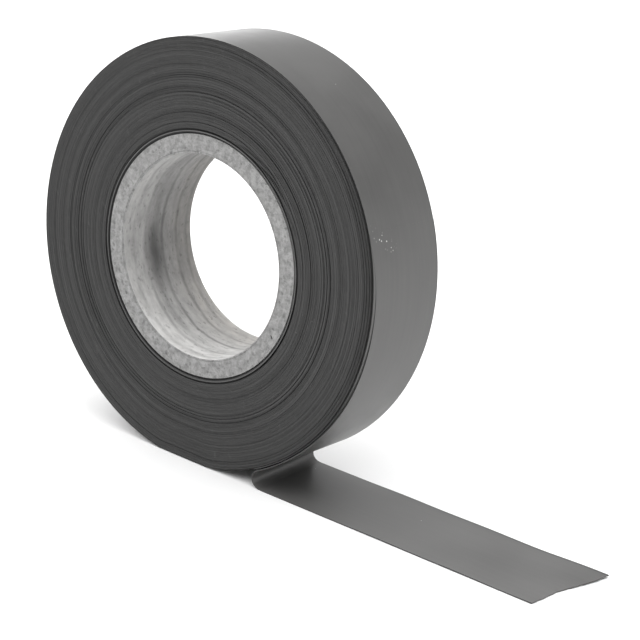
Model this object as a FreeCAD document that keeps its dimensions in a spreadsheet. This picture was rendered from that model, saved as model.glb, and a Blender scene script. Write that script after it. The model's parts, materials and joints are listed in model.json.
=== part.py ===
"""Electrical tape roll: a spiral-wound board core, the wound tape, and a free end folded back on the floor.

The core's bore axis is Y and its middle is the origin. Z is up and the free end runs along +X.
Lengths are millimetres and angles are degrees.
"""

import FreeCAD, Part
import os

import Sketcher

BODY_PLIES = 4
FOLD_PIECES = 3
TAIL_PIECES = 5

SIZES = [
    ("tape_width", 19.0, "width of the tape and of the wound roll"),
    ("roll_diameter", 80.0, "outside diameter of the wound tape"),
    ("rest_flat_width", 12.4, "width of the flat pressed where the roll rests"),
    ("film_thickness", 0.14, "vinyl backing film"),
    ("adhesive_thickness", 0.04, "adhesive coat under the film"),
    ("core_bore_diameter", 38.1, "bore of the board core, an inch and a half"),
    ("core_recess", 0.25, "how far each end of the core lies inside the face of the tape"),
    ("liner_thickness", 0.4, "smooth paper liner round the bore"),
    ("ply_thickness", 0.7, "one body ply of the core"),
    ("wrap_thickness", 0.3, "outer paper of the core, under the first turn"),
    ("seam_width", 0.25, "butt gap between the edges of one ply"),
    ("seam_slope", 52.0, "slope of a ply's butt seam from the core's axis"),
    ("seam_step", 140.0, "turn from one ply's seam to the next ply's"),
    ("peel_angle", 26.0, "from the lowest point up to the line where the tape leaves the roll"),
    ("loose_angle", 84.0, "stretch of the last turn that has come loose above that line"),
    ("loose_gap", 0.15, "gap under the loose stretch"),
    ("tail_length", 60.9, "free end from the fold to the middle of the cut"),
    ("cut_skew", 2.4, "how much longer the far edge of the free end is than the near edge"),
    ("joint_gap", 0.15, "gap between neighbouring lengths of the free end"),
]

doc = FreeCAD.newDocument("electrical_tape_roll")
sheet = doc.addObject("Spreadsheet::Sheet", "Size")
for row, (alias, size, meaning) in enumerate(SIZES, start=1):
    sheet.set(f"A{row}", meaning)
    sheet.set(f"B{row}", str(size))
    sheet.setAlias(f"B{row}", alias)
doc.recompute()

# Sizes and places worked out from the sheet, as expressions.
ROLL_R = "(Size.roll_diameter / 2)"
TAPE = "(Size.film_thickness + Size.adhesive_thickness)"
WRAP_OUTER_R = (
    f"(Size.core_bore_diameter / 2 + Size.liner_thickness + {BODY_PLIES} * Size.ply_thickness"
    " + Size.wrap_thickness)"
)
FLOOR_Z = f"(-sqrt({ROLL_R}^2 - (Size.rest_flat_width / 2)^2))"
CORE_WIDTH = "(Size.tape_width - 2 * Size.core_recess)"
LOOSE_R = f"({ROLL_R} + Size.loose_gap)"
PEEL_R = f"({LOOSE_R} + {TAPE} / 2)"
# The fold is the arc that leaves the roll along its tangent and lands level on the floor.
FOLD_R = (
    f"((-{PEEL_R} * cos(Size.peel_angle) - {FLOOR_Z} - {TAPE} / 2)"
    " / (1 + cos(Size.peel_angle)))"
)
FOLD_X = f"(({PEEL_R} + {FOLD_R}) * sin(Size.peel_angle))"
FOLD_Z = f"(-({PEEL_R} + {FOLD_R}) * cos(Size.peel_angle))"
FOLD_START = "(90 + Size.peel_angle)"
FOLD_STEP = f"((180 - Size.peel_angle) / {FOLD_PIECES})"
FOLD_GAP = f"(Size.joint_gap / {FOLD_R} * 180 / pi)"
TAIL_STEP = f"(Size.tail_length / {TAIL_PIECES})"


def number(expression):
    """The value of an expression now, to draw a sketch near where its constraints put it."""
    return float(sheet.evalExpression(expression))


def new_body(label):
    """An empty body whose label is its node's name."""
    body = doc.addObject("PartDesign::Body", label)
    body.Label = label
    return body


def new_sketch(body, name, plane):
    """An empty sketch on one of the body's own origin planes."""
    sketch = body.newObject("Sketcher::SketchObject", name)
    support = [o for o in body.Origin.OriginFeatures if o.Role == plane][0]
    sketch.AttachmentSupport = [(support, "")]
    sketch.MapMode = "FlatFace"
    return sketch


def constrain(sketch, name, constraint, expression):
    """Adds a dimension to the sketch and binds it to an expression."""
    index = sketch.addConstraint(constraint)
    sketch.renameConstraint(index, name)
    sketch.setExpression(f"Constraints.{name}", expression)


def chain(sketch, ids):
    """Joins each line or arc's end to the next one's start, all the way round."""
    for this, following in zip(ids, ids[1:] + ids[:1]):
        sketch.addConstraint(Sketcher.Constraint("Coincident", this, 2, following, 1))


def pad(body, sketch, length, symmetric):
    """Pads the sketch to the length, both ways or along its normal."""
    feature = body.newObject("PartDesign::Pad", "Pad")
    feature.Profile = sketch
    feature.SideType = "Symmetric" if symmetric else "One side"
    feature.setExpression("Length", length)
    return feature


def ring(sketch, name, radius):
    """A full circle about the sketch's origin, with its radius bound."""
    shape = Part.Circle(FreeCAD.Vector(0, 0, 0), FreeCAD.Vector(0, 0, 1), number(radius))
    circle = sketch.addGeometry(shape)
    sketch.addConstraint(Sketcher.Constraint("Coincident", circle, 3, -1, 1))
    constrain(sketch, name, Sketcher.Constraint("Radius", circle, number(radius)), radius)


def core_ply(label, inner_r, thickness, seam_turn):
    """One ply of the core: a tube with a slanted butt seam, turned about the bore to its seam's place."""
    body = new_body(label)
    profile = new_sketch(body, f"{label}_profile", "XZ_Plane")
    ring(profile, "inner_radius", inner_r)
    ring(profile, "outer_radius", f"({inner_r} + {thickness})")
    pad(body, profile, CORE_WIDTH, symmetric=True)

    seam = new_sketch(body, f"{label}_seam", "XY_Plane")
    slope = FreeCAD.Rotation(FreeCAD.Vector(0, 0, 1), 90 - number("Size.seam_slope"))
    reach, half_gap = number(CORE_WIDTH), number("Size.seam_width / 2")
    corners = [
        slope.multVec(FreeCAD.Vector(x, y, 0))
        for x, y in (
            (-reach, -half_gap),
            (reach, -half_gap),
            (reach, half_gap),
            (-reach, half_gap),
        )
    ]
    ids = [
        seam.addGeometry(Part.LineSegment(this, following))
        for this, following in zip(corners, corners[1:] + corners[:1])
    ]
    chain(seam, ids)
    for first, second in zip(ids, ids[1:]):
        seam.addConstraint(Sketcher.Constraint("Perpendicular", first, second))
    seam.addConstraint(Sketcher.Constraint("Symmetric", ids[0], 1, ids[2], 1, -1, 1))
    constrain(seam, "slope", Sketcher.Constraint("Angle", ids[0], 0.66), "90 - Size.seam_slope")
    constrain(seam, "gap", Sketcher.Constraint("Distance", ids[1], 2 * half_gap), "Size.seam_width")
    constrain(seam, "reach", Sketcher.Constraint("Distance", ids[0], 2 * reach), f"2 * {CORE_WIDTH}")
    cut = body.newObject("PartDesign::Pocket", "Seam")
    cut.Profile = seam
    cut.Reversed = True
    cut.setExpression("Length", ROLL_R)
    body.setExpression(
        "Placement", f"placement(vector(0; 0; 0); rotation(vector(0; 1; 0); {seam_turn}))"
    )
    return body


def tape_pack():
    """The wound tape on the core, with the flat it rests on."""
    body = new_body("tape_pack")
    profile = new_sketch(body, "tape_pack_profile", "XZ_Plane")
    ring(profile, "inner_radius", WRAP_OUTER_R)
    radius, half_flat = number(ROLL_R), number("Size.rest_flat_width / 2")
    circle = Part.Circle(FreeCAD.Vector(0, 0, 0), FreeCAD.Vector(0, 0, 1), radius)
    left = FreeCAD.Vector(-half_flat, number(FLOOR_Z), 0)
    right = FreeCAD.Vector(half_flat, number(FLOOR_Z), 0)
    round_side = Part.ArcOfCircle(circle, circle.parameter(right), circle.parameter(left))
    arc = profile.addGeometry(round_side)
    flat = profile.addGeometry(Part.LineSegment(left, right))
    chain(profile, [arc, flat])
    profile.addConstraint(Sketcher.Constraint("Coincident", arc, 3, -1, 1))
    profile.addConstraint(Sketcher.Constraint("Horizontal", flat))
    constrain(profile, "outer_radius", Sketcher.Constraint("Radius", arc, radius), ROLL_R)
    width = Sketcher.Constraint("DistanceX", flat, 1, flat, 2, 2 * half_flat)
    constrain(profile, "flat_width", width, "Size.rest_flat_width")
    pad(body, profile, "Size.tape_width", symmetric=True)
    return body


def bent_strip(label, centre_x, centre_z, inner_r, thickness, start, sweep):
    """A layer of tape along an arc: a ring sector in the XZ plane, padded to the tape's width."""
    body = new_body(label)
    sketch = new_sketch(body, f"{label}_profile", "XZ_Plane")
    outer_r = f"({inner_r} + {thickness})"
    end = f"({start} + {sweep})"
    centre = FreeCAD.Vector(number(centre_x), number(centre_z), 0)
    axis = FreeCAD.Vector(0, 0, 1)
    first, last = number(f"{start} * pi / 180"), number(f"{end} * pi / 180")
    inner, outer = [
        Part.ArcOfCircle(Part.Circle(centre, axis, number(radius)), first, last)
        for radius in (inner_r, outer_r)
    ]
    outer_id = sketch.addGeometry(outer)
    inner_id = sketch.addGeometry(inner)
    start_id = sketch.addGeometry(Part.LineSegment(inner.StartPoint, outer.StartPoint))
    end_id = sketch.addGeometry(Part.LineSegment(inner.EndPoint, outer.EndPoint))
    for line, point in ((start_id, 1), (end_id, 2)):
        sketch.addConstraint(Sketcher.Constraint("Coincident", line, 1, inner_id, point))
        sketch.addConstraint(Sketcher.Constraint("Coincident", line, 2, outer_id, point))
        sketch.addConstraint(Sketcher.Constraint("PointOnObject", inner_id, 3, line))
    sketch.addConstraint(Sketcher.Constraint("Coincident", outer_id, 3, inner_id, 3))
    across = Sketcher.Constraint("DistanceX", -1, 1, inner_id, 3, centre.x)
    up = Sketcher.Constraint("DistanceY", -1, 1, inner_id, 3, centre.y)
    constrain(sketch, "centre_x", across, centre_x)
    constrain(sketch, "centre_z", up, centre_z)
    constrain(sketch, "inner_radius", Sketcher.Constraint("Radius", inner_id, inner.Radius), inner_r)
    constrain(sketch, "outer_radius", Sketcher.Constraint("Radius", outer_id, outer.Radius), outer_r)
    constrain(sketch, "start_angle", Sketcher.Constraint("Angle", start_id, first), start)
    constrain(sketch, "end_angle", Sketcher.Constraint("Angle", end_id, last), end)
    pad(body, sketch, "Size.tape_width", symmetric=True)
    return body


def flat_strip(label, place_x, place_z, near_length, far_length, thickness):
    """A layer of tape lying flat: an outline whose near and far edges have their own lengths."""
    body = new_body(label)
    sketch = new_sketch(body, f"{label}_outline", "XY_Plane")
    start, half_width = number("Size.joint_gap / 2"), number("Size.tape_width / 2")
    corners = [
        FreeCAD.Vector(start, half_width, 0),
        FreeCAD.Vector(start, -half_width, 0),
        FreeCAD.Vector(start + number(near_length), -half_width, 0),
        FreeCAD.Vector(start + number(far_length), half_width, 0),
    ]
    ids = [
        sketch.addGeometry(Part.LineSegment(this, following))
        for this, following in zip(corners, corners[1:] + corners[:1])
    ]
    chain(sketch, ids)
    first_edge, near_edge, _, far_edge = ids
    sketch.addConstraint(Sketcher.Constraint("Symmetric", first_edge, 1, first_edge, 2, -1))
    sketch.addConstraint(Sketcher.Constraint("Horizontal", near_edge))
    sketch.addConstraint(Sketcher.Constraint("Horizontal", far_edge))
    inset = Sketcher.Constraint("DistanceX", -1, 1, first_edge, 1, start)
    width = Sketcher.Constraint("DistanceY", first_edge, 2, first_edge, 1, 2 * half_width)
    near = Sketcher.Constraint("DistanceX", near_edge, 1, near_edge, 2, number(near_length))
    far = Sketcher.Constraint("DistanceX", far_edge, 2, far_edge, 1, number(far_length))
    constrain(sketch, "inset", inset, "Size.joint_gap / 2")
    constrain(sketch, "width", width, "Size.tape_width")
    constrain(sketch, "near_length", near, near_length)
    constrain(sketch, "far_length", far, far_length)
    pad(body, sketch, thickness, symmetric=False)
    body.setExpression("Placement.Base.x", place_x)
    body.setExpression("Placement.Base.z", place_z)
    return body


def board_core():
    """The core's plies from the bore outwards, each with its seam turned on from the one before."""
    layers = [("core_liner", "Size.liner_thickness")]
    layers += [(f"core_ply_{n}", "Size.ply_thickness") for n in range(1, BODY_PLIES + 1)]
    layers += [("core_wrap", "Size.wrap_thickness")]
    plies = []
    inner_r = "(Size.core_bore_diameter / 2)"
    for turn, (label, thickness) in enumerate(layers):
        plies.append(core_ply(label, inner_r, thickness, f"{turn} * Size.seam_step"))
        inner_r = f"({inner_r} + {thickness})"
    return plies


def loose_turn():
    """The last stretch of the outer turn, which has come loose above the peel line."""
    half_gap = f"(Size.joint_gap / 2 / {PEEL_R} * 180 / pi)"
    start, sweep = f"(Size.peel_angle - 90 + {half_gap})", f"(Size.loose_angle - {half_gap})"
    film_r = f"({LOOSE_R} + Size.adhesive_thickness)"
    adhesive = bent_strip(
        "loose_turn_adhesive", "0", "0", LOOSE_R, "Size.adhesive_thickness", start, sweep
    )
    film = bent_strip("loose_turn_film", "0", "0", film_r, "Size.film_thickness", start, sweep)
    return [film, adhesive]


def fold():
    """The tape's sharp turn back from the roll to the floor, with its adhesive on the outside."""
    film_r = f"({FOLD_R} - {TAPE} / 2)"
    adhesive_r = f"({film_r} + Size.film_thickness)"
    sweep = f"({FOLD_STEP} - {FOLD_GAP})"
    pieces = []
    for index in range(FOLD_PIECES):
        start = f"({FOLD_START} + {index} * {FOLD_STEP} + {FOLD_GAP} / 2)"
        name = f"fold_{index + 1}"
        pieces.append(
            bent_strip(f"{name}_film", FOLD_X, FOLD_Z, film_r, "Size.film_thickness", start, sweep)
        )
        pieces.append(
            bent_strip(
                f"{name}_adhesive", FOLD_X, FOLD_Z, adhesive_r, "Size.adhesive_thickness", start, sweep
            )
        )
    return pieces


def tail():
    """The free end flat on the floor, adhesive down, ending in a slightly slanting cut."""
    film_z = f"({FLOOR_Z} + Size.adhesive_thickness)"
    plain = f"({TAIL_STEP} - Size.joint_gap)"
    pieces = []
    for index in range(TAIL_PIECES):
        near, far = plain, plain
        if index == TAIL_PIECES - 1:
            near = f"({TAIL_STEP} - Size.joint_gap / 2 - Size.cut_skew / 2)"
            far = f"({TAIL_STEP} - Size.joint_gap / 2 + Size.cut_skew / 2)"
        place_x = f"({FOLD_X} + {index} * {TAIL_STEP})"
        name = f"tail_{index + 1}"
        pieces.append(
            flat_strip(f"{name}_film", place_x, film_z, near, far, "Size.film_thickness")
        )
        pieces.append(
            flat_strip(f"{name}_adhesive", place_x, FLOOR_Z, near, far, "Size.adhesive_thickness")
        )
    return pieces


nodes = board_core() + [tape_pack()] + loose_turn() + fold() + tail()
doc.recompute()

faults = [o.Label for o in doc.Objects if "Invalid" in o.State or "Error" in o.State]
faults += [n.Label for n in nodes if n.Shape.isNull() or not n.Shape.isValid()]
if faults:
    raise SystemExit(f"these objects are not sound: {faults}")

os.makedirs("parts", exist_ok=True)
for node in nodes:
    node.Shape.exportStep(os.path.join("parts", f"{node.Label}.step"))
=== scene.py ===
"""Looks of an electrical tape roll: board core, wound turns, and a free end folded back on the floor."""

import json
import logging
import math
from dataclasses import dataclass, field
from enum import Enum
from typing import Any, Callable

import bmesh
import bpy
import numpy as np
from mathutils import Matrix, Vector


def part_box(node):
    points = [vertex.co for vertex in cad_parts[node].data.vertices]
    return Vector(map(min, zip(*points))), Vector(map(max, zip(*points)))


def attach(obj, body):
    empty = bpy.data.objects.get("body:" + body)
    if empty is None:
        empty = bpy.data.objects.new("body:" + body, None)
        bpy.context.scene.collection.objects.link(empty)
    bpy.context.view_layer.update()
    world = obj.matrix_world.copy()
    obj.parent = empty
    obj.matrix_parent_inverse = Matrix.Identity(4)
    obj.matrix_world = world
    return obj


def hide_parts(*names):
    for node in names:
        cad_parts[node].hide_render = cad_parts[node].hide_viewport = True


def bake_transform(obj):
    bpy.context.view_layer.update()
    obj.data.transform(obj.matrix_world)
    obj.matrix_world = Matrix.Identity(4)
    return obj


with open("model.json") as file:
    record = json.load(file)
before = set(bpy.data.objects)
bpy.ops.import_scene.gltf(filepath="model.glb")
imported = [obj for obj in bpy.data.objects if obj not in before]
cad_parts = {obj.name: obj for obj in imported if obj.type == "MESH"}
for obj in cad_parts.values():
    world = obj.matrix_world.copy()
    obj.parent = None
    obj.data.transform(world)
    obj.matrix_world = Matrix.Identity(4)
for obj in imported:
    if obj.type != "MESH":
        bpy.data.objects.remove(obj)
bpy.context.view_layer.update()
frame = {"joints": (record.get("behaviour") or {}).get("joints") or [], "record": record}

LOG = logging.getLogger("tape_roll")
MM = 0.001
TURN = 2 * math.pi
BLACK = (0.0, 0.0, 0.0, 1.0)
WHITE = (1.0, 1.0, 1.0, 1.0)


# ---------------------------------------------------------------- measures


@dataclass(frozen=True)
class Measures:
    """Sizes of the roll, in metres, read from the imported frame."""

    bore_r: float
    core_r: float
    core_half: float
    roll_r: float
    half_width: float
    floor_z: float
    film: float
    adhesive: float
    loose_r: float
    peel: float
    tail_end_x: float

    @property
    def tape(self) -> float:
        """Thickness of film and adhesive together."""
        return self.film + self.adhesive

    @classmethod
    def from_frame(cls) -> "Measures":
        """Reads the sizes off the nodes' boxes and the joints.

        Returns:
            The measures of this roll.
        """
        pack_low, pack_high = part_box("tape_pack")
        core_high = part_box("core_wrap")[1]
        film_low, film_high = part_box("tail_5_film")
        peel_x, _, peel_z = joint_place("fold_bend_1")
        film_thickness = film_high.z - film_low.z
        return cls(
            bore_r=bore_radius(),
            core_r=core_high.z,
            core_half=core_high.y,
            roll_r=pack_high.z,
            half_width=pack_high.y,
            floor_z=pack_low.z,
            film=film_thickness,
            adhesive=film_low.z - pack_low.z,
            loose_r=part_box("loose_turn_film")[1].x - film_thickness,
            peel=math.atan2(peel_x, -peel_z),
            tail_end_x=film_high.x,
        )


def joint_place(name: str) -> Vector:
    """A joint's place in the row frame.

    Args:
        name: The joint's name.

    Returns:
        Its place in metres.
    """
    found = next(joint for joint in frame["joints"] if joint["name"] == name)
    return Vector(found["pos_m"])


def bore_radius() -> float:
    """The radius of the core's bore mount, in metres."""
    mounts = frame["record"]["mounts"]
    return next(m["dims"]["r_mm"] for m in mounts if m["name"] == "core_bore") * MM


# ---------------------------------------------------------------- mesh helpers


def deselect() -> None:
    """Returns to object mode and deselects everything."""
    if bpy.context.object and bpy.context.object.mode != "OBJECT":
        bpy.ops.object.mode_set(mode="OBJECT")
    bpy.ops.object.select_all(action="DESELECT")


def named(name: str) -> bpy.types.Object:
    """Names the primitive just added, and its mesh."""
    piece = bpy.context.object
    piece.name = name
    piece.data.name = name
    return piece


def points_of(piece: bpy.types.Object) -> np.ndarray:
    """The piece's mesh points as rows of x, y and z."""
    flat = np.empty(len(piece.data.vertices) * 3)
    piece.data.vertices.foreach_get("co", flat)
    return flat.reshape(-1, 3)


def move_points(piece: bpy.types.Object, points: np.ndarray) -> None:
    """Puts the piece's mesh points where the rows say."""
    piece.data.vertices.foreach_set("co", points.ravel())
    piece.data.update()


def set_attribute(piece: bpy.types.Object, name: str, values: np.ndarray) -> None:
    """Stores one number for each mesh point.

    Args:
        piece: The mesh object.
        name: The attribute's name, as materials read it.
        values: One value for each point.
    """
    layer = piece.data.attributes.new(name, "FLOAT", "POINT")
    layer.data.foreach_set("value", values.astype(np.float32))


def select_where(piece: bpy.types.Object, kind: str, test: Callable[[Any], bool]) -> None:
    """Selects only the edges or faces that pass a test, in edit mode.

    Args:
        piece: The mesh object in edit mode.
        kind: "edges" or "faces".
        test: Says whether an element is selected.
    """
    mesh = bmesh.from_edit_mesh(piece.data)
    for element in (*mesh.verts, *mesh.edges, *mesh.faces):
        element.select = False
    for element in filter(test, list(getattr(mesh, kind))):
        element.select = True
    bmesh.update_edit_mesh(piece.data)


def centre(edge: Any) -> Vector:
    """The middle of an edge."""
    return (edge.verts[0].co + edge.verts[1].co) / 2


def finish_shading(piece: bpy.types.Object, angle: float = 40.0) -> None:
    """Smooth shading with edges sharper than the angle, in degrees, kept crisp."""
    select_only(piece)
    bpy.ops.object.shade_smooth_by_angle(angle=math.radians(angle))


def select_only(piece: bpy.types.Object) -> None:
    """Makes the piece the only one selected, and the active one."""
    deselect()
    piece.select_set(True)
    bpy.context.view_layer.objects.active = piece


def seal(piece: bpy.types.Object, merge: float) -> None:
    """Merges doubled points, fills what is left open and turns all faces outwards.

    Args:
        piece: The mesh object.
        merge: Points nearer than this become one.
    """
    select_only(piece)
    bpy.ops.object.mode_set(mode="EDIT")
    bpy.ops.mesh.select_all(action="SELECT")
    bpy.ops.mesh.remove_doubles(threshold=merge)
    bpy.ops.mesh.select_all(action="SELECT")
    bpy.ops.mesh.fill_holes(sides=0)
    face_outwards(piece)
    bpy.ops.object.mode_set(mode="OBJECT")


def face_outwards(piece: bpy.types.Object) -> None:
    """Turns all faces of a closed piece outwards, in edit mode."""
    bpy.ops.mesh.select_all(action="SELECT")
    bpy.ops.mesh.normals_make_consistent(inside=False)
    if bmesh.from_edit_mesh(piece.data).calc_volume(signed=True) < 0:
        bpy.ops.mesh.flip_normals()


def smooth(value: Any, low: float, high: float) -> Any:
    """A soft step from 0 at low to 1 at high, for numbers and arrays."""
    share = np.clip((value - low) / (high - low), 0.0, 1.0)
    return share * share * (3 - 2 * share)


def bump_at(value: Any, place: float, width: float) -> Any:
    """A soft hump of height 1 and the given half width, round a place."""
    return np.exp(-(((value - place) / width) ** 2))


def wander(position: np.ndarray, seed: int, knots: int) -> np.ndarray:
    """Smooth seeded noise from -1 to 1 along a line.

    Args:
        position: Places along the line, from 0 to the number of knots.
        seed: Chooses the noise.
        knots: How many random values the line has.

    Returns:
        The noise at each place.
    """
    values = np.random.default_rng(seed).uniform(-1, 1, knots + 3)
    low = np.clip(np.floor(position).astype(int), 0, knots)
    share = smooth(position - low, 0.0, 1.0)
    return values[low] * (1 - share) + values[low + 1] * share


# ---------------------------------------------------------------- shader helpers


class Value:
    """A shader number that Python's operators act on."""

    def __init__(self, graph: "Graph", socket: bpy.types.NodeSocket) -> None:
        """Wraps an output socket of the graph."""
        self.graph = graph
        self.socket = socket

    def math(self, operation: str, *others: Any) -> "Value":
        """Adds a Math node that starts from this number.

        Args:
            operation: The node's operation.
            *others: Its other inputs.

        Returns:
            The result.
        """
        return self.graph.math(operation, self, *others)

    def __add__(self, other: Any) -> "Value":
        """The sum."""
        return self.math("ADD", other)

    def __radd__(self, other: Any) -> "Value":
        """The sum, from the right."""
        return self.graph.math("ADD", other, self)

    def __sub__(self, other: Any) -> "Value":
        """The difference."""
        return self.math("SUBTRACT", other)

    def __rsub__(self, other: Any) -> "Value":
        """The difference, from the right."""
        return self.graph.math("SUBTRACT", other, self)

    def __mul__(self, other: Any) -> "Value":
        """The product."""
        return self.math("MULTIPLY", other)

    def __rmul__(self, other: Any) -> "Value":
        """The product, from the right."""
        return self.graph.math("MULTIPLY", other, self)

    def __truediv__(self, other: Any) -> "Value":
        """The quotient."""
        return self.math("DIVIDE", other)

    def ramp(self, low: float, high: float) -> "Value":
        """0 at low and 1 at high, softly between."""
        return self.graph.step(self, low, high)

    def line(self, place: float, half_width: float) -> "Value":
        """1 at a place, falling softly to 0 a half width away."""
        return 1 - (self - place).math("ABSOLUTE").ramp(0.0, half_width)


class Graph:
    """A material's node tree, built from Python expressions."""

    collection: str = "materials"
    output_kind: str = "ShaderNodeOutputMaterial"

    def __init__(self, name: str) -> None:
        """Makes an empty material with an output.

        Args:
            name: The material's name.
        """
        self.owner = getattr(bpy.data, self.collection).new(name)
        self.owner.use_nodes = True
        self.tree = self.owner.node_tree
        self.tree.nodes.clear()
        self.output = self.tree.nodes.new(self.output_kind)

    def node(self, kind: str, settings: dict | None = None, **inputs: Any) -> bpy.types.Node:
        """Adds any node.

        Args:
            kind: The node's type.
            settings: Its properties, set first.
            **inputs: Its sockets by name, with _ for a space, or by number as in i0.

        Returns:
            The node.
        """
        node = self.tree.nodes.new(kind)
        for key, value in (settings or {}).items():
            setattr(node, key, value)
        for key, value in inputs.items():
            place = int(key[1:]) if key[0] == "i" and key[1:].isdigit() else key.replace("_", " ")
            self.feed(node.inputs[place], value)
        return node

    def feed(self, socket: bpy.types.NodeSocket, value: Any) -> None:
        """Links a wrapped number or a socket to an input, or sets it to a constant."""
        if isinstance(value, Value):
            value = value.socket
        if isinstance(value, bpy.types.NodeSocket):
            self.tree.links.new(value, socket)
        else:
            socket.default_value = value

    def math(self, operation: str, *values: Any) -> Value:
        """Adds a Math node on numbers and wrapped numbers."""
        inputs = {f"i{place}": value for place, value in enumerate(values)}
        return Value(self, self.node("ShaderNodeMath", {"operation": operation}, **inputs).outputs[0])

    def step(self, value: Value, low: float, high: float) -> Value:
        """A soft step from 0 at low to 1 at high."""
        settings = {"interpolation_type": "SMOOTHSTEP"}
        node = self.node("ShaderNodeMapRange", settings, i0=value, i1=low, i2=high)
        return Value(self, node.outputs[0])

    def attribute(self, name: str) -> Value:
        """A number stored on the mesh points."""
        node = self.node("ShaderNodeAttribute", {"attribute_name": name})
        return Value(self, node.outputs["Fac"])

    def place(self) -> tuple[Value, Value, Value]:
        """The point in the piece's own coordinates, in millimetres."""
        source = self.node("ShaderNodeTexCoord").outputs["Object"]
        parts = self.node("ShaderNodeSeparateXYZ", None, i0=source)
        return tuple(Value(self, parts.outputs[axis]) / MM for axis in range(3))

    def vector(self, x: Any, y: Any, z: Any = 0.0) -> bpy.types.NodeSocket:
        """A vector from three numbers."""
        return self.node("ShaderNodeCombineXYZ", None, i0=x, i1=y, i2=z).outputs[0]

    def noise(self, vector: Any, scale: float, detail: float = 3.0, rough: float = 0.55) -> Value:
        """Fractal noise from 0 to 1 at a place."""
        node = self.node(
            "ShaderNodeTexNoise", None, Vector=vector, Scale=scale, Detail=detail, Roughness=rough
        )
        return Value(self, node.outputs[0])

    def flecks(self, vector: Any, spacing: float, radius: float, share: float) -> Value:
        """Small round spots: 1 inside a spot and 0 outside.

        Args:
            vector: The place, in millimetres.
            spacing: Distance between places where a spot may be.
            radius: Radius of a spot.
            share: Share of those places that have one.

        Returns:
            The spots.
        """
        node = self.node("ShaderNodeTexVoronoi", None, Vector=vector, Scale=1 / spacing)
        inside = 1 - Value(self, node.outputs["Distance"]).ramp(
            radius / spacing * 0.6, radius / spacing
        )
        pick = self.node("ShaderNodeSeparateColor", None, i0=node.outputs["Color"]).outputs[0]
        return inside * Value(self, pick).math("LESS_THAN", share)

    def mix(self, share: Any, first: Any, second: Any) -> bpy.types.NodeSocket:
        """A colour between two colours."""
        node = self.node("ShaderNodeMix", {"data_type": "RGBA"}, i0=share, i6=first, i7=second)
        return node.outputs[2]

    def grey(self, level: Any) -> bpy.types.NodeSocket:
        """A neutral colour whose brightness is a number from 0 to 1."""
        return self.mix(level, BLACK, WHITE)

    def bump(self, height: Value, distance: float) -> bpy.types.NodeSocket:
        """A normal bent by a height, whose full scale is the distance."""
        return self.node("ShaderNodeBump", None, Height=height, Distance=distance, Strength=1.0).outputs[0]

    def surface(self, **inputs: Any) -> bpy.types.Material:
        """Ends the material in a Principled surface with these inputs."""
        shader = self.node("ShaderNodeBsdfPrincipled", None, **inputs)
        self.tree.links.new(shader.outputs[0], self.output.inputs[0])
        return self.owner


class SkyGraph(Graph):
    """The node tree of the light that comes from all round."""

    collection = "worlds"
    output_kind = "ShaderNodeOutputWorld"

    def direction(self) -> tuple[Value, Value, Value]:
        """The direction the light comes from, as three numbers from -1 to 1."""
        source = self.node("ShaderNodeTexCoord").outputs["Generated"]
        parts = self.node("ShaderNodeSeparateXYZ", None, i0=source)
        return tuple(Value(self, parts.outputs[axis]) for axis in range(3))

    def glow(self, strength: Value) -> bpy.types.World:
        """Ends the world in white light of this strength."""
        background = self.node("ShaderNodeBackground", None, Color=WHITE, Strength=strength)
        self.tree.links.new(background.outputs[0], self.output.inputs[0])
        return self.owner


# ---------------------------------------------------------------- finishes


@dataclass(frozen=True)
class VinylFilm:
    """Grey soft vinyl with a fine calendered grain, a low sheen, a little dust and a painted dark band of
    shade along the far rim.
    """

    half_width: float
    name: str = "vinyl_film"
    level: float = 0.088
    roughness: float = 0.37

    def build(self) -> bpy.types.Material:
        """Makes the film's material.

        Returns:
            The material, which reads Object coordinates.
        """
        graph = Graph(self.name)
        x, y, z = graph.place()
        spot = graph.vector(x, y, z)
        streaks = graph.noise(graph.vector(x * 0.02, y, z * 0.02), 1.6, 4.0)
        cloud = graph.noise(spot, 0.07, 4.0).ramp(0.25, 0.75)
        grain = graph.noise(spot, 5.2, 2.0)
        scuff = graph.noise(graph.vector(x * 0.3, y * 2.5, z * 0.3), 0.7, 5.0).ramp(0.66, 0.8)
        trail = (z + y * 0.6).line(8.9, 1.7) * (y + 5.2).line(0.0, 4.4) * x.ramp(30.0, 36.0)
        dust = graph.flecks(spot, 1.3, 0.09, 0.012) + graph.flecks(spot, 0.6, 0.16, 0.65) * trail * 1.4
        # Painted shade: a thin darker band along the outer surface's far rim, standing in for the dark
        # edge line at the silhouette.
        painted_far_rim_shade = y.ramp(self.half_width / MM - 0.34, self.half_width / MM - 0.1)
        level = self.level * (0.78 + 0.2 * cloud + 0.28 * streaks)
        level = level * (1 - 0.55 * painted_far_rim_shade)
        rough = self.roughness + 0.12 * (cloud - 0.5) + 0.08 * (streaks - 0.5) + 0.06 * scuff
        height = grain * 0.5 + streaks * 0.8 + scuff * 0.4
        return graph.surface(
            Base_Color=graph.mix(level + 0.02 * scuff + 0.5 * dust, BLACK, (1.0, 0.99, 0.97, 1.0)),
            Roughness=rough,
            Normal=graph.bump(height, 0.008 * MM),
        )


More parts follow.
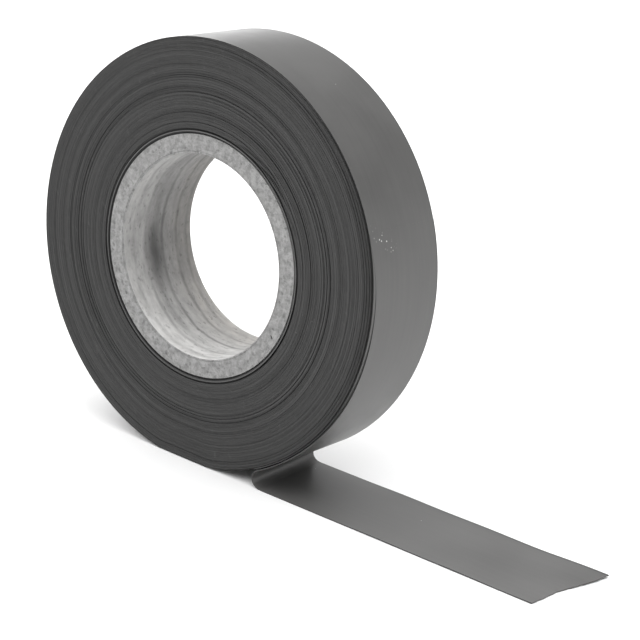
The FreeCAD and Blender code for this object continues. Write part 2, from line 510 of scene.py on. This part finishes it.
@dataclass(frozen=True)
class TurnEdges:
    """The slit edges of the wound turns, each a slightly different grey, with painted shade on the sunk
    stretches and a painted highlight on a proud one.
    """

    dark: float = 0.012
    light: float = 0.066
    roughness: float = 0.55

    def build(self) -> bpy.types.Material:
        """Makes the material of the roll's two faces.

        Returns:
            The material, which reads the winding number and the place in the turn.
        """
        graph = Graph("turn_edges")
        x, y, z = graph.place()
        spot = graph.vector(x, y, z)
        wind = graph.attribute("wind")
        within = graph.attribute("within")
        band = graph.noise(graph.vector(wind * 0.16, y * 0.1), 1.0, 3.0).ramp(0.36, 0.64)
        turn = graph.noise(graph.vector(wind * 2.6, y * 0.1), 1.0, 2.0).ramp(0.34, 0.66)
        dash = graph.noise(graph.vector(wind * 5.0, x * 0.09, z * 0.09), 1.0, 4.0).ramp(0.35, 0.65)
        fine = graph.noise(graph.vector(wind * 9.0, x * 0.6, z * 0.6), 1.0, 3.0).ramp(0.32, 0.68)
        across = graph.vector(x * 0.9 + z * 0.5, z * 0.14 - x * 0.25, y)
        scratch = graph.noise(across, 2.2, 4.0).ramp(0.62, 0.76)
        specks = graph.flecks(spot, 1.1, 0.07, 0.03)
        glue = within.line(0.0, 0.2) + within.line(1.0, 0.2)
        share = band * 0.22 + turn * 0.26 + dash * 0.28 + fine * 0.24
        level = (self.dark + (self.light - self.dark) * share) * (1 - 0.5 * glue)
        # Painted shade darkens the sunk stretches near the core and round winding 5.4; a painted highlight
        # lightens the proud stretch round winding 3.6.
        sunk = wind.ramp(2.0, 3.0) * 0.75 + 0.25 - 0.6 * wind.line(5.4, 1.5)
        level = level * sunk + 0.08 * wind.line(3.6, 0.8)
        level = level + 0.026 * scratch + 0.35 * specks
        rough = self.roughness + 0.2 * (dash - 0.5) + 0.14 * (fine - 0.5)
        height = turn * 0.5 + dash * 0.8 + fine * 0.5
        return graph.surface(
            Base_Color=graph.mix(level, BLACK, (1.0, 0.995, 0.985, 1.0)),
            Roughness=rough,
            Specular_IOR_Level=0.3,
            Normal=graph.bump(height, 0.03 * MM),
        )


@dataclass(frozen=True)
class Adhesive:
    """Dark rubbery adhesive with a faint orange-peel gloss."""

    level: float = 0.02

    def build(self) -> bpy.types.Material:
        """Makes the adhesive's material."""
        graph = Graph("adhesive")
        x, y, z = graph.place()
        spot = graph.vector(x, y, z)
        peel = graph.noise(spot, 0.9, 3.0)
        cloud = graph.noise(spot, 0.09, 2.0)
        return graph.surface(
            Base_Color=graph.grey(self.level * (0.7 + 0.6 * cloud)),
            Roughness=0.24 + 0.16 * peel,
            Normal=graph.bump(peel, 0.01 * MM),
        )


@dataclass(frozen=True)
class Board:
    """Raw grey paperboard with mottled fibres and dark flecks."""

    level: float = 0.27

    def build(self) -> bpy.types.Material:
        """Makes the material of the core's plies."""
        graph = Graph("core_board")
        x, y, z = graph.place()
        spot = graph.vector(x, y, z)
        mottle = graph.noise(spot, 0.75, 4.0, 0.7).ramp(0.28, 0.72)
        fibre = graph.noise(graph.vector(x, y * 0.4, z), 3.0, 4.0, 0.6)
        blotch = graph.noise(graph.vector(z, x, y), 1.0, 3.0).ramp(0.55, 0.7)
        flecks = graph.flecks(spot, 1.3, 0.32, 0.5) * graph.noise(spot, 3.0, 3.0).ramp(0.3, 0.7)
        level = self.level * (0.55 + 0.56 * mottle + 0.3 * fibre) * (1 - 0.34 * blotch)
        return graph.surface(
            Base_Color=graph.mix(level * (1 - 0.5 * flecks), BLACK, (1.0, 0.995, 0.985, 1.0)),
            Roughness=0.85 + 0.1 * fibre,
            Specular_IOR_Level=0.2,
            Normal=graph.bump(fibre * 0.7 + mottle * 0.5 - flecks * 0.4, 0.1 * MM),
        )


@dataclass(frozen=True)
class LinerPaper:
    """Smooth grey paper round the bore, with winding rings, dark streaks and one smudge, painted shade
    that deepens towards the far end and painted light on the lower wall.
    """

    half_width: float
    level: float = 0.42
    rings: tuple[tuple[float, float, float], ...] = (
        (-0.80, 0.24, 0.16),
        (-0.46, 0.3, 0.26),
        (0.04, 0.42, 0.4),
        (0.46, 0.26, 0.34),
        (0.76, 0.2, 0.24),
    )

    def build(self) -> bpy.types.Material:
        """Makes the bore's material.

        Returns:
            The material, which reads Object coordinates.
        """
        graph = Graph("liner_paper")
        x, y, z = graph.place()
        spot = graph.vector(x, y, z)
        waver = graph.noise(graph.vector(x * 0.03, 0.0, z * 0.03), 1.0, 3.0) - 0.5
        wobble = graph.noise(graph.vector(x * 0.2, y * 0.1, z * 0.2), 1.0, 2.0) - 0.5
        across = y / (self.half_width / MM) + 0.26 * waver + 0.06 * wobble + 0.005 * x
        # Painted shade darkens the bore towards its far end and painted light brightens its lower wall;
        # the winding rings are multiplied into the same value below.
        shade = 1 - across.ramp(-1.1, 1.1) * 0.3 + 0.5 * (z * -1).ramp(4.0, 19.0)
        fading = graph.noise(graph.vector(x * 0.09, y * 0.3, z * 0.09), 1.0, 2.0).ramp(0.3, 0.65)
        for place, width, depth in self.rings:
            edge = across.line(place, 0.075)
            band = across.line(place + width * 0.45, width)
            shade = shade * (1 - depth * edge * (0.5 + 0.7 * fading)) * (1 - depth * 0.45 * band)
        blur = graph.noise(graph.vector(x * 0.22, y * 0.7, z * 0.22), 1.0, 4.0).ramp(0.25, 0.75)
        mottle = graph.noise(graph.vector(x * 0.7, y * 1.2, z * 0.7), 1.0, 5.0, 0.65)
        specks = graph.noise(graph.vector(z * 0.8, x * 0.8, y * 1.6), 1.0, 4.0).ramp(0.58, 0.68)
        left = (x * -1).ramp(9.0, 17.5)
        streak = across.line(-0.19, 0.36)
        smudge = left * (z + 5.0).line(0.0, 9.0) * streak
        trail = (x * -1).ramp(-4.0, 14.0) * streak
        level = self.level * shade * (0.58 + 0.3 * blur + 0.5 * (mottle - 0.1))
        level = level * (1 - 0.62 * smudge) * (1 - 0.3 * trail) * (1 - 0.3 * specks)
        brown = across.ramp(-0.2, 1.0) * (0.4 + 0.6 * blur)
        tint = graph.mix(brown, (1.0, 0.99, 0.975, 1.0), (1.0, 0.955, 0.9, 1.0))
        settings = {"data_type": "RGBA", "blend_type": "MULTIPLY"}
        colour = graph.node("ShaderNodeMix", settings, i0=1.0, i6=tint, i7=graph.grey(level))
        return graph.surface(
            Base_Color=colour.outputs[2],
            Roughness=0.72 + 0.12 * blur,
            Normal=graph.bump(blur * 0.6 + mottle * 0.6 + shade * 2.0, 0.05 * MM),
        )


@dataclass(frozen=True)
class StudioFloor:
    """Plain pale floor."""

    level: float = 0.9

    def build(self) -> bpy.types.Material:
        """Makes the floor's material."""
        graph = Graph("studio_floor")
        x, y, z = graph.place()
        dust = graph.noise(graph.vector(x, y, z), 0.04, 2.0)
        return graph.surface(
            Base_Color=graph.grey(self.level + 0.01 * dust), Roughness=0.7, Specular_IOR_Level=0.1
        )


class Slot(Enum):
    """The record's material slots."""

    FILM = "tape_film"
    ADHESIVE = "tape_adhesive"
    BOARD = "core_board"
    PAPER = "core_paper"


# ---------------------------------------------------------------- board core


@dataclass
class BoardCore:
    """The core: glued paper plies, each a strip wound with a slanting butt seam."""

    sizes: Measures
    steps: int = 168
    rows: int = 30
    seam_gap: float = 0.25 * MM
    seam_slope: float = math.radians(52.0)
    seam_step: float = math.radians(140.0)
    edge_round: float = 0.02 * MM
    bore_round: float = 0.19 * MM
    uneven: float = 0.015 * MM
    merge: float = 1e-7
    nodes: tuple[str, ...] = (
        "core_liner",
        "core_ply_1",
        "core_ply_2",
        "core_ply_3",
        "core_ply_4",
        "core_wrap",
    )

    def build(self, board: bpy.types.Material, paper: bpy.types.Material) -> None:
        """Makes every ply and dresses it.

        Args:
            board: The raw board's material.
            paper: The smooth paper's material.
        """
        inner = self.sizes.bore_r
        for order, node in enumerate(self.nodes):
            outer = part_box(node)[1].z
            ply = self.ply(f"{node}_paper", inner, outer, order)
            smooth_paper = node in ("core_liner", "core_wrap")
            ply.data.materials.append(board)
            ply.data.materials.append(paper)
            for face in ply.data.polygons:
                face.material_index = int(smooth_paper and abs(face.normal.y) < 0.3)
            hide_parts(node)
            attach(ply, "roll")
            LOG.info("%s: %d faces", ply.name, len(ply.data.polygons))
            inner = outer

    def ply(self, name: str, inner: float, outer: float, order: int) -> bpy.types.Object:
        """Spins one ply's section round the bore and slants its seam.

        Args:
            name: The piece's name.
            inner: Radius of the ply's inside.
            outer: Radius of its outside.
            order: Its number from the bore, which turns its seam on.

        Returns:
            The ply.
        """
        deselect()
        bpy.ops.mesh.primitive_plane_add(size=1, location=(0, 0, 0))
        piece = named(name)
        half = self.sizes.core_half - self.uneven * (order % 3) / 2
        points = points_of(piece)
        points[:, 0] = (inner + outer) / 2 + points[:, 0] * (outer - inner)
        points[:, 1] *= 2 * half
        move_points(piece, points)
        bpy.ops.object.mode_set(mode="EDIT")
        bpy.ops.mesh.select_all(action="SELECT")
        bpy.ops.mesh.bevel(
            offset=self.edge_round if order else self.bore_round, segments=4, affect="VERTICES"
        )
        select_where(piece, "edges", lambda edge: abs(edge.verts[0].co.y - edge.verts[1].co.y) > half)
        bpy.ops.mesh.subdivide(number_cuts=self.rows)
        bpy.ops.mesh.select_all(action="SELECT")
        gap = self.seam_gap / ((inner + outer) / 2)
        bpy.ops.mesh.spin(
            steps=self.steps, angle=TURN - gap, center=(0, 0, 0), axis=(0, 1, 0), dupli=False
        )
        bpy.ops.object.mode_set(mode="OBJECT")
        self.slant(piece, order)
        seal(piece, self.merge)
        finish_shading(piece)
        return piece

    def slant(self, piece: bpy.types.Object, order: int) -> None:
        """Turns each point about the bore in step with its place along it, so the seam slants."""
        points = points_of(piece)
        radius = np.hypot(points[:, 0], points[:, 2])
        turn = order * self.seam_step + points[:, 1] * math.tan(self.seam_slope) / radius
        angle = np.arctan2(points[:, 0], points[:, 2]) + turn
        points[:, 0] = radius * np.sin(angle)
        points[:, 2] = radius * np.cos(angle)
        move_points(piece, points)


# ---------------------------------------------------------------- wound tape


@dataclass(frozen=True)
class Sunk:
    """A stretch of the winding whose edge lies deeper, so that it shows as a dark line."""

    wind: float
    reach: float
    depth: float

    def inset(self, wind: np.ndarray) -> np.ndarray:
        """The stretch's depth at each winding number, in metres."""
        away = np.abs(wind - self.wind) / self.reach
        return self.depth * MM * (1 - smooth(away, 0.6, 1.0))


@dataclass
class WoundTape:
    """The turns on the core, as one spiral with every turn's edge modelled."""

    sizes: Measures
    steps: int = 164
    stray: float = 0.06 * MM
    flat_reach: float = 13 * MM
    rim_round: float = 0.06 * MM
    set_back: float = 0.42 * MM
    seam_share: float = 0.999
    merge: float = 6e-6
    inset: float = 0.09 * MM
    crease_depth: float = 0.2 * MM
    crease_angle: float = math.radians(142)
    crease_reach: float = math.radians(17)
    crease_wind: float = 9.0

    @property
    def turns(self) -> int:
        """How many turns fit between the core and the outside."""
        return round((self.sizes.roll_r - self.sizes.core_r) / self.sizes.tape)

    def build(self, edges: bpy.types.Material, film: bpy.types.Material) -> None:
        """Makes the wound turns and dresses them.

        Args:
            edges: The material of the turns' edges.
            film: The material of the outer surface.
        """
        piece = self.spun_section()
        self.wind(piece)
        seal(piece, self.merge)
        piece.data.materials.append(edges)
        piece.data.materials.append(film)
        for face in piece.data.polygons:
            face.material_index = 1 if abs(face.normal.y) < 0.5 and self.outside(face.center) else 0
        finish_shading(piece, 60.0)
        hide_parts("tape_pack")
        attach(piece, "roll")
        LOG.info("%s: %d turns, %d faces", piece.name, self.turns, len(piece.data.polygons))

    def outside(self, place: Vector) -> bool:
        """Whether a face centre lies on the roll's outer surface."""
        flat = abs(place.z - self.sizes.floor_z) < 0.05 * MM
        return flat or math.hypot(place.x, place.z) > self.sizes.roll_r - 1.6 * self.sizes.tape

    def spun_section(self) -> bpy.types.Object:
        """Spins the roll's section, cut into turns, almost once round the axis.

        Returns:
            The open ring, whose ends do not meet yet.
        """
        sizes = self.sizes
        deselect()
        bpy.ops.mesh.primitive_plane_add(size=1, location=(0, 0, 0))
        piece = named("wound_turns")
        points = points_of(piece)
        depth = sizes.roll_r - sizes.core_r
        points[:, 0] = sizes.core_r + depth / 2 + points[:, 0] * depth
        points[:, 1] *= 2 * sizes.half_width
        move_points(piece, points)
        bpy.ops.object.mode_set(mode="EDIT")
        for side in (-1, 1):
            for cuts in (self.turns - 1, 2):
                place = side * sizes.half_width
                select_where(piece, "edges", lambda e, p=place: abs(centre(e).y - p) < 1e-6)
                bpy.ops.mesh.subdivide(number_cuts=cuts)
        select_where(piece, "edges", lambda e: abs(centre(e).x - sizes.roll_r) < 1e-6)
        bpy.ops.mesh.subdivide(number_cuts=4)
        bpy.ops.mesh.select_all(action="SELECT")
        bpy.ops.mesh.delete(type="ONLY_FACE")
        bpy.ops.mesh.select_all(action="SELECT")
        bpy.ops.mesh.spin(
            steps=self.steps,
            angle=TURN * self.seam_share,
            center=(0, 0, 0),
            axis=(0, 1, 0),
            dupli=False,
        )
        bpy.ops.object.mode_set(mode="OBJECT")
        return piece

    def wind(self, piece: bpy.types.Object) -> None:
        """Turns the ring into a spiral that starts and ends at the peel line.

        Args:
            piece: The ring from spun_section.
        """
        sizes = self.sizes
        points = points_of(piece)
        radius = np.hypot(points[:, 0], points[:, 2])
        spun = np.mod(np.arctan2(points[:, 2], points[:, 0]) + 1e-6, TURN) / self.seam_share
        share = np.clip(spun / TURN, 0.0, 1.0)
        pitch = (sizes.roll_r - sizes.core_r) / self.turns
        ring = (radius - sizes.core_r) / pitch
        layer = np.floor(ring + 1e-3)
        within = np.round((ring - layer) * 3) / 3
        # A turn's two crown points move out towards its grooves, which leaves its edge nearly flat.
        within = np.where(within > 0, 0.5 + (within - 0.5) * 2.1, 0.0)
        ring = layer + within
        turn = np.maximum(ring * 0.02, ring - 1 + share)
        # Forward along the tape runs from the peel line down and round to the left.
        angle = sizes.peel - share * TURN
        radius = sizes.core_r + pitch * turn
        side = np.sign(points[:, 1]) * (np.abs(points[:, 1]) > sizes.half_width - 1e-7)
        radius -= self.flat_squeeze(radius, angle)
        inset = self.edge_inset(layer + share, within, angle, side)
        faces = side * (sizes.half_width - inset)
        points[:, 1] = np.where(side == 0, self.rim_places(points[:, 1], angle), faces)
        points[:, 0] = radius * np.sin(angle)
        points[:, 2] = -radius * np.cos(angle)
        move_points(piece, points)
        set_attribute(piece, "wind", layer + share)
        set_attribute(piece, "within", within)

    def rim_step(self, angle: np.ndarray) -> np.ndarray:
        """How far the last turns stand back from the near face, on the right and over the top."""
        around = np.mod(angle, TURN)
        return self.set_back * smooth(around, 0.5, 0.9) * (1 - smooth(around, 3.3, 4.2))

    def rim_places(self, across: np.ndarray, angle: np.ndarray) -> np.ndarray:
        """Moves the outer surface's outer rows close to the rims, to keep those crisp."""
        step = np.where(across < 0, self.rim_step(angle), 0.0)
        edge = self.sizes.half_width - self.rim_round - step
        outer_row = np.abs(across) > self.sizes.half_width * 0.5
        return np.where(outer_row, np.sign(across) * edge, across)

    def flat_squeeze(self, radius: np.ndarray, angle: np.ndarray) -> np.ndarray:
        """How far the turns are pressed in over the flat that the roll rests on.

        Args:
            radius: Each point's radius before pressing.
            angle: Its angle from straight down.

        Returns:
            The distance to move towards the axis.
        """
        sizes = self.sizes
        facing = np.cos(angle) > 0.5
        limit = -sizes.floor_z / np.maximum(np.cos(angle), 0.5)
        over = np.where(facing, np.maximum(sizes.roll_r - limit, 0.0), 0.0)
        press = over * smooth(radius, sizes.roll_r - self.flat_reach, sizes.roll_r)
        return np.maximum(press, np.where(facing, radius - limit, 0.0))

    def sunk(self) -> list[Sunk]:
        """The stretches whose edges lie deeper or proud: at the core, near the outside, at random."""
        last = self.turns
        chosen = [Sunk(0.8, 2.3, 0.42), Sunk(3.6, 0.7, -0.06), Sunk(5.4, 1.3, 0.36)]
        chosen += [Sunk(last - 1.14, 0.22, 0.26), Sunk(last - 3.12, 0.2, 0.16)]
        chosen += [Sunk(last - 6.2, 0.3, 0.11), Sunk(last - 9.1, 0.4, 0.12)]
        random = np.random.default_rng(17)
        for _ in range(34):
            place, reach, depth = random.uniform((5, 0.12, -0.07), (last - 4, 0.6, 0.13))
            chosen.append(Sunk(place, reach, depth))
        for _ in range(9):
            place, reach, depth = random.uniform((38, 0.3, 0.03), (50, 0.9, 0.1))
            chosen.append(Sunk(place, reach, depth))
        return chosen

    def edge_inset(
        self, wind: np.ndarray, within: np.ndarray, angle: np.ndarray, side: np.ndarray
    ) -> np.ndarray:
        """How far each point of the turns' edges lies inside the roll's faces.

        Args:
            wind: Winding number along the tape, from its start on the core.
            within: Place in the turn's thickness; 0 is the groove beside its neighbour.
            angle: Angle from straight down.
            side: -1 on the near face, 1 on the far face.

        Returns:
            The inset of each point, never negative.
        """
        knots = self.turns * 4
        stray = np.zeros_like(wind)
        for sign, seed in ((-1, 3), (1, 11)):
            own = 0.55 * wander(wind * 3.0, seed, knots) + 0.45 * wander(wind * 0.4, seed + 1, knots)
            stray = np.where(side == sign, own, stray)
        groove = np.where(within < 0.01, 0.03 + 0.03 * wander(wind * 1.7, 23, knots), 0.0)
        inset = self.inset + self.stray * stray + groove * MM
        for stretch in self.sunk():
            inset = inset + stretch.inset(wind)
        # A crease over the tape's start on the core, above the bore on the right.
        spread = bump_at(np.mod(angle, TURN), self.crease_angle, self.crease_reach)
        crease = (0.6 + np.sin(angle * 19 + wind * 1.3)) * bump_at(wind, self.crease_wind, 3.5)
        inset += self.crease_depth * crease * spread
        last_turns = smooth(wind, self.turns - 4.5, self.turns - 0.3) ** 2
        inset += np.where(side < 0, self.rim_step(angle) * last_turns, 0.0)
        return np.maximum(inset, 0.0)


# ---------------------------------------------------------------- free end


@dataclass
class TapePath:
    """Where the last of the tape runs: loose on the roll, round the fold, and along the floor.

    Stage 0 to 1 is the loose stretch, 1 to 2 the fold and 2 to 3 the tail.
    """

    sizes: Measures
    loose_top: float = math.radians(110.0)
    peel_skew: float = math.radians(0.9)
    tail_drift: float = 0.3 * MM
    near_step: float = 1.15 * MM
    cut_skew: float = 2.4 * MM
    samples: int = 400

    def peel_at(self, across: np.ndarray) -> np.ndarray:
        """Angle of the peel line from straight down; the near edge peels a little higher."""
        return self.sizes.peel + math.radians(0.1) - self.peel_skew * across

    def fold_shape(self, peel: float) -> tuple[np.ndarray, np.ndarray]:
        """The fold's curve for one peel angle, tight first and easing onto the floor.

        Args:
            peel: The peel angle.

        Returns:
            Headings, and places as rows of x and z, along the fold.
        """
        sizes = self.sizes
        along = np.linspace(0.0, 1.0, self.samples)
        curving = (along + 0.02) ** 0.45 * (1 - along + 0.01) ** 0.8
        turned = np.concatenate([[0.0], np.cumsum((curving[1:] + curving[:-1]) / 2)])
        heading = math.pi + peel + (math.pi - peel) * turned / turned[-1]
        steps = np.stack([np.cos(heading), np.sin(heading)], axis=1)
        run = np.concatenate([[[0.0, 0.0]], np.cumsum((steps[1:] + steps[:-1]) / 2, axis=0)])
        middle = self.roll_middle(np.array([1.0]))[0]
        start = np.array([middle * math.sin(peel), -middle * math.cos(peel)])
        drop = start[1] - (sizes.floor_z + sizes.tape / 2)
        return heading, start + run * (drop / -run[-1, 1])

    def roll_middle(self, stage: np.ndarray) -> np.ndarray:
        """Radius of the middle of the tape's thickness along the loose stretch."""
        sizes = self.sizes
        lifted = sizes.loose_r + sizes.tape / 2
        laid = sizes.roll_r - 0.03 * MM - sizes.tape / 2 * self.fullness(stage)
        lift = smooth(stage, 0.0, 0.8)
        return laid * (1 - lift) + lifted * lift

    def fullness(self, stage: np.ndarray) -> np.ndarray:
        """Share of the tape's thickness that shows: its upper end thins out into the outer turn."""
        return 0.1 + 0.9 * smooth(stage, 0.0, 0.3)

    def at(self, stage: np.ndarray, across: np.ndarray) -> tuple[np.ndarray, np.ndarray]:
        """The tape's middle surface.

        Args:
            stage: Where along the tape, from 0 to 3.
            across: Where across it, from -1 at the near edge to 1 at the far edge.

        Returns:
            Points as rows of x, y and z, and unit normals on the film's side.
        """
        place = np.zeros((len(stage), 2))
        heading = np.zeros(len(stage))
        for level in np.unique(across):
            row = across == level
            place[row], heading[row] = self.profile(stage[row], float(level))
        tail = np.clip(stage - 2, 0, 1)
        y = across * self.sizes.half_width + self.tail_drift * tail
        y += self.set_back(stage) * (1 - across) / 2
        normal = np.stack([-np.sin(heading), np.zeros(len(stage)), np.cos(heading)], axis=1)
        points = np.stack([place[:, 0], y, place[:, 1]], axis=1)
        points[:, 2] += self.tail_lift(tail, across)
        return points, normal

    def set_back(self, stage: np.ndarray) -> np.ndarray:
        """How far the loose stretch's near edge stands back from the roll's near face."""
        growing = 0.5 + 0.5 * smooth(stage, 0.0, 0.2)
        return self.near_step * growing * (1 - smooth(stage, 0.5, 0.97))

    def profile(self, stage: np.ndarray, across: float) -> tuple[np.ndarray, np.ndarray]:
        """The path in one slice across the tape.

        Args:
            stage: Where along the tape.
            across: Which slice.

        Returns:
            Places as rows of x and z, and headings.
        """
        peel = float(self.peel_at(np.array(across)))
        headings, curve = self.fold_shape(peel)
        angle = self.loose_top + (peel - self.loose_top) * np.clip(stage, 0, 1)
        radius = self.roll_middle(stage)
        place = np.stack([radius * np.sin(angle), -radius * np.cos(angle)], axis=1)
        heading = math.pi + angle
        folded = stage > 1
        target = math.pi + peel + (math.pi - peel) * np.clip(stage - 1, 0, 1)
        for axis in (0, 1):
            place[folded, axis] = np.interp(target[folded], headings, curve[:, axis])
        heading[folded] = target[folded]
        lying = stage > 2
        end = self.cut_at(across)
        place[lying, 0] = curve[-1, 0] + (end - curve[-1, 0]) * (stage[lying] - 2)
        place[lying, 1] = curve[-1, 1]
        return place, heading

    def cut_at(self, across: float) -> float:
        """Where the cut ends the tape, in x: slanting, with a shallow S and small nicks."""
        far = (across + 1) / 2
        cut = self.sizes.tail_end_x - self.cut_skew * (1 - far) + (0.2 + far * far) * MM
        wave = -0.42 * bump_at(far, 0.38, 0.16) + 0.22 * bump_at(far, 0.8, 0.12)
        nicks = 0.05 * math.sin(far * 47) + 0.04 * math.sin(far * 83 + 1)
        return cut + (wave + nicks) * MM

    def tail_lift(self, tail: np.ndarray, across: np.ndarray) -> np.ndarray:
        """Height of the lying tape over the floor: soft ripples, and a raised far corner."""
        ripple = 0.05 * (1 + np.sin(tail * 21 + across * 1.4)) * smooth(tail, 0.02, 0.3)
        edge = 0.06 * np.abs(across) ** 4 * smooth(tail, 0.1, 0.5)
        corner = 0.3 * smooth(tail, 0.76, 1.0) * smooth(across, -0.3, 1.0)
        return (ripple * 0.7 + edge + corner) * MM


@dataclass(frozen=True)
class Stretch:
    """One length of the free end, which spans one joint of the chain."""

    name: str
    start: float
    end: float
    bodies: tuple[str, str]
    nodes: tuple[str, ...]
    rows: int


@dataclass
class FreeEnd:
    """The loose tape as film and adhesive with slit edges, in lengths that each span one joint."""

    sizes: Measures
    path: TapePath
    slit: bpy.types.Material
    columns: int = 28
    stretches: list[Stretch] = field(default_factory=list)

    def __post_init__(self) -> None:
        """Lists the lengths, which meet halfway along the rigid bodies of the chain."""
        chain = ["loose_turn", "fold_1", "fold_2", "fold_3"]
        chain += [f"tail_{number}" for number in range(1, 6)]
        middles = [1 + 1 / 6, 1.5, 1 + 5 / 6, 2.1, 2.3, 2.5, 2.7, 3.0]
        start = 0.0
        for number, end in enumerate(middles):
            nodes = chain[:2] if number == 0 else [chain[number + 1]]
            rows = 90 if number == 0 else 18 if end < 2 else 30
            bodies = (chain[number], chain[number + 1])
            self.stretches.append(Stretch(bodies[1], start, end, bodies, tuple(nodes), rows))
            start = end

    def build(self, film: bpy.types.Material, adhesive: bpy.types.Material) -> None:
        """Makes both layers of every length.

        Args:
            film: The film's material.
            adhesive: The adhesive's material.
        """
        low = -self.sizes.tape / 2
        middle = low + self.sizes.adhesive
        for stretch in self.stretches:
            self.layer(stretch, "film", middle, -low, film, Slot.FILM)
            self.layer(stretch, "adhesive", low, middle, adhesive, Slot.ADHESIVE)

    def layer(
        self,
        stretch: Stretch,
        kind: str,
        low: float,
        high: float,
        material: bpy.types.Material,
        slot: Slot,
    ) -> None:
        """Makes one layer of one length, between two heights over the tape's middle.

        Args:
            stretch: The length.
            kind: "film" or "adhesive", as in the nodes' names.
            low: The layer's lower side.
            high: Its upper side.
            material: What it is made of.
            slot: Its slot in the record; not used.
        """
        deselect()
        bpy.ops.mesh.primitive_grid_add(
            x_subdivisions=stretch.rows, y_subdivisions=self.columns, size=2, location=(0, 0, 0)
        )
        piece = named(f"{stretch.name}_{kind}_skin")
        grid = points_of(piece)
        stage = stretch.start + (grid[:, 0] + 1) / 2 * (stretch.end - stretch.start)
        across = np.round(grid[:, 1], 5)
        points, normal = self.path.at(stage, across)
        thin = self.path.fullness(np.minimum(stage, 1.0))[:, None]
        move_points(piece, points + normal * low * thin)
        top = points + normal * high * thin
        self.thicken(piece, top)
        piece.data.materials.append(material)
        piece.data.materials.append(self.slit)
        for face in piece.data.polygons:
            face.material_index = int(abs(face.normal.y) > 0.7)
        finish_shading(piece, 50.0)
        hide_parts(*(f"{node}_{kind}" for node in stretch.nodes))
        begin, finish = self.bend_span(stretch)
        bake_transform(piece)
        LOG.info("%s: %d faces", piece.name, len(piece.data.polygons))

    def thicken(self, piece: bpy.types.Object, top: np.ndarray) -> None:
        """Extrudes the lower side into a closed layer and puts the copy at its upper side.

        Args:
            piece: The layer's lower side.
            top: Where each point's copy goes.
        """
        count = len(piece.data.vertices)
        bpy.ops.object.mode_set(mode="EDIT")
        bpy.ops.mesh.select_all(action="SELECT")
        bpy.ops.mesh.duplicate()
        bpy.ops.object.mode_set(mode="OBJECT")
        points = points_of(piece)
        points[count:] = top
        move_points(piece, points)
        bpy.ops.object.mode_set(mode="EDIT")
        select_where(piece, "edges", lambda edge: edge.is_boundary)
        bpy.ops.mesh.bridge_edge_loops()
        face_outwards(piece)
        bpy.ops.object.mode_set(mode="OBJECT")

    def bend_span(self, stretch: Stretch) -> tuple[tuple, tuple]:
        """Where a length starts and stops bending, on the tape's centre line.

        Args:
            stretch: The length.

        Returns:
            The two points.
        """
        begin = max(stretch.start, 0.97)
        finish = min(stretch.end, 2.9)
        places, _ = self.path.at(np.array([begin, finish]), np.zeros(2))
        return tuple(places[0]), tuple(places[1])


# ---------------------------------------------------------------- studio


@dataclass
class Studio:
    """Floor, light and camera."""

    sizes: Measures
    azimuth: float = math.radians(37.454)
    elevation: float = math.radians(18.321)
    roll: float = math.radians(5.512)
    distance: float = 330.17 * MM
    lens_mm: float = 107.1
    aim: tuple[float, float] = (29.29 * MM, -3.75 * MM)
    power: float = 3.7
    softness: float = math.radians(100.0)
    light_from: tuple[float, float, float] = (-0.22, -0.22, 1.0)
    ambient: float = 0.5
    backdrop_gain: float = 4.4

    def build(self, floor: bpy.types.Material) -> None:
        """Makes the floor, the lights, the backdrop's light and the camera."""
        self.floor(floor)
        self.backdrop()
        self.softbox()
        self.camera()

    def floor(self, material: bpy.types.Material) -> None:
        """A wide plane at the height the roll rests on."""
        deselect()
        bpy.ops.mesh.primitive_plane_add(size=8, location=(0, 0, self.sizes.floor_z))
        plane = named("floor")
        bpy.ops.object.transform_apply(location=True, rotation=True, scale=True)
        plane.data.materials.append(material)

    def backdrop(self) -> None:
        """Light from all round, stronger from a pale backdrop behind the roll on the left."""
        graph = SkyGraph("studio")
        x, y, z = graph.direction()
        behind = (y * 0.8 - x * 0.6).ramp(-0.1, 0.9)
        low = 1 - z.ramp(0.06, 0.4)
        bpy.context.scene.world = graph.glow(self.ambient * (1 + self.backdrop_gain * behind * low))
        bpy.context.scene.view_settings.view_transform = "Standard"

    def softbox(self) -> None:
        """One very wide soft light from above, a little from the left and the front."""
        data = bpy.data.lights.new("softbox", "SUN")
        data.energy = self.power
        data.angle = self.softness
        lamp = bpy.data.objects.new("softbox", data)
        bpy.context.scene.collection.objects.link(lamp)
        aim = Vector(self.light_from).normalized().to_track_quat("Z", "Y")
        lamp.matrix_world = aim.to_matrix().to_4x4()

    def camera(self) -> None:
        """The camera, from the right and a little above, tilted a few degrees."""
        data = bpy.data.cameras.new("camera")
        data.lens = self.lens_mm
        data.sensor_width = 36.0
        data.clip_start = 0.01
        camera = bpy.data.objects.new("camera", data)
        bpy.context.scene.collection.objects.link(camera)
        turn, rise = self.azimuth, self.elevation
        back = Vector(
            (math.sin(turn) * math.cos(rise), -math.cos(turn) * math.cos(rise), math.sin(rise))
        )
        level = Vector((math.cos(turn), math.sin(turn), 0.0))
        upright = back.cross(level)
        right = level * math.cos(self.roll) + upright * math.sin(self.roll)
        above = upright * math.cos(self.roll) - level * math.sin(self.roll)
        target = Vector((self.aim[0], -self.sizes.half_width, self.aim[1]))
        axes = Matrix((right, above, back)).transposed().to_4x4()
        camera.matrix_world = Matrix.Translation(target + back * self.distance) @ axes
        bpy.context.scene.camera = camera


def main() -> None:
    """Builds the roll, its free end and the studio."""
    logging.basicConfig(level=logging.INFO, format="%(name)s: %(message)s")
    sizes = Measures.from_frame()
    LOG.info("roll %.1f mm across, %.1f mm wide", sizes.roll_r * 2000, sizes.half_width * 2000)
    film = VinylFilm(sizes.half_width).build()
    Studio(sizes).build(StudioFloor().build())
    BoardCore(sizes).build(Board().build(), LinerPaper(sizes.core_half).build())
    WoundTape(sizes).build(TurnEdges().build(), film)
    slit = VinylFilm(sizes.half_width, "slit_edge", level=0.036).build()
    FreeEnd(sizes, TapePath(sizes), slit).build(film, Adhesive().build())


if __name__ == "__main__":
    main()
